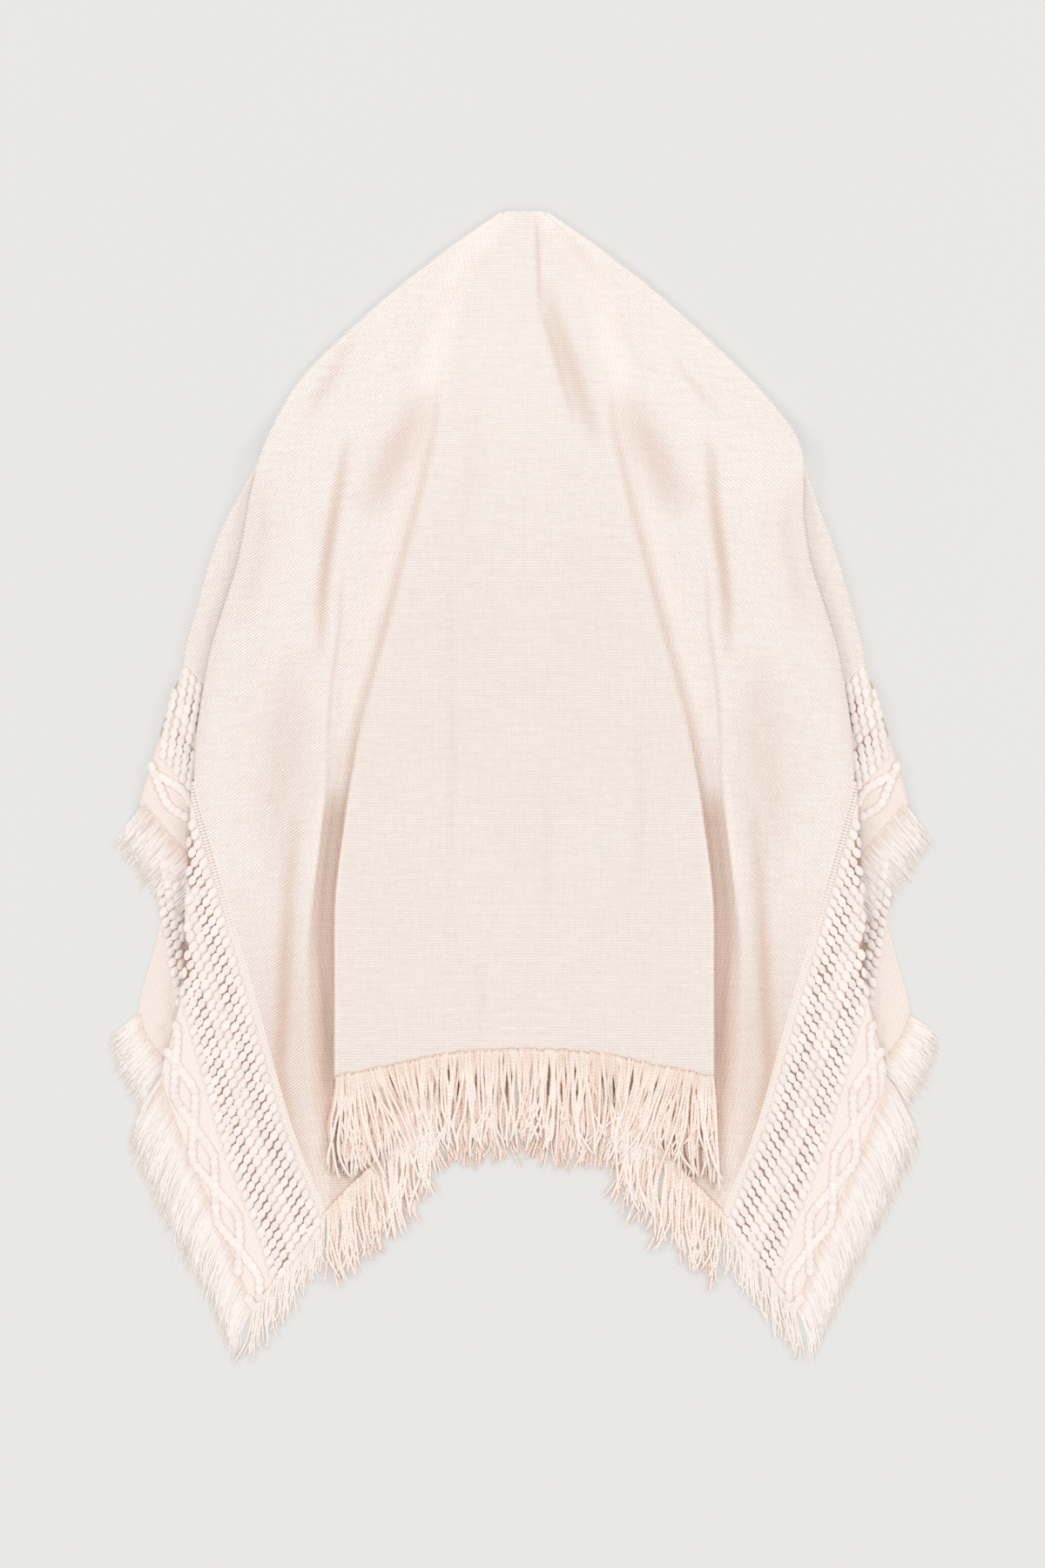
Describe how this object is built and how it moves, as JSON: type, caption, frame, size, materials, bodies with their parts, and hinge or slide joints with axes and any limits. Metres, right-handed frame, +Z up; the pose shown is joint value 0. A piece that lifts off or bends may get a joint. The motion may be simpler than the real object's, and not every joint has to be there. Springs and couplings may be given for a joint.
{
  "type": "kimono cardigan",
  "caption": "Fringed open-front kimono cardigan laid flat, back up, with draped pleats and turned-back patterned borders.",
  "frame": {"origin": "middle of the garment's outline, on the surface it lies on", "axes": "+Y from hem to neck along the garment, +X to its right as seen, +Z up out of the cloth"},
  "size_m": [0.8214, 1.166, 0.0144],
  "materials": {
    "cream_cloth": "soft open knit",
    "patterned_border": "bobble and cable knit",
    "fringe_yarn": "twisted soft yarn"
  },
  "bodies": {
    "root": {"back_panel": "cream_cloth", "back_border_left": "patterned_border", "back_border_right": "patterned_border", "front_left": "cream_cloth", "front_right": "cream_cloth", "front_border_left": "patterned_border", "front_border_right": "patterned_border", "centre_fringe_left": "fringe_yarn", "centre_fringe_middle": "fringe_yarn", "centre_fringe_right": "fringe_yarn", "pleat_fringe_left": "fringe_yarn", "pleat_fringe_right": "fringe_yarn", "drape_fringe_left": "fringe_yarn", "drape_fringe_right": "fringe_yarn", "border_fringe_left": "fringe_yarn", "border_fringe_right": "fringe_yarn", "side_fringe_left": "fringe_yarn", "side_fringe_right": "fringe_yarn", "shoulder_fringe_left": "fringe_yarn", "shoulder_fringe_right": "fringe_yarn", "front_side_fringe_left": "fringe_yarn", "front_side_fringe_right": "fringe_yarn", "front_hem_fringe_left": "fringe_yarn", "front_hem_fringe_right": "fringe_yarn"}
  },
  "joints": []
}
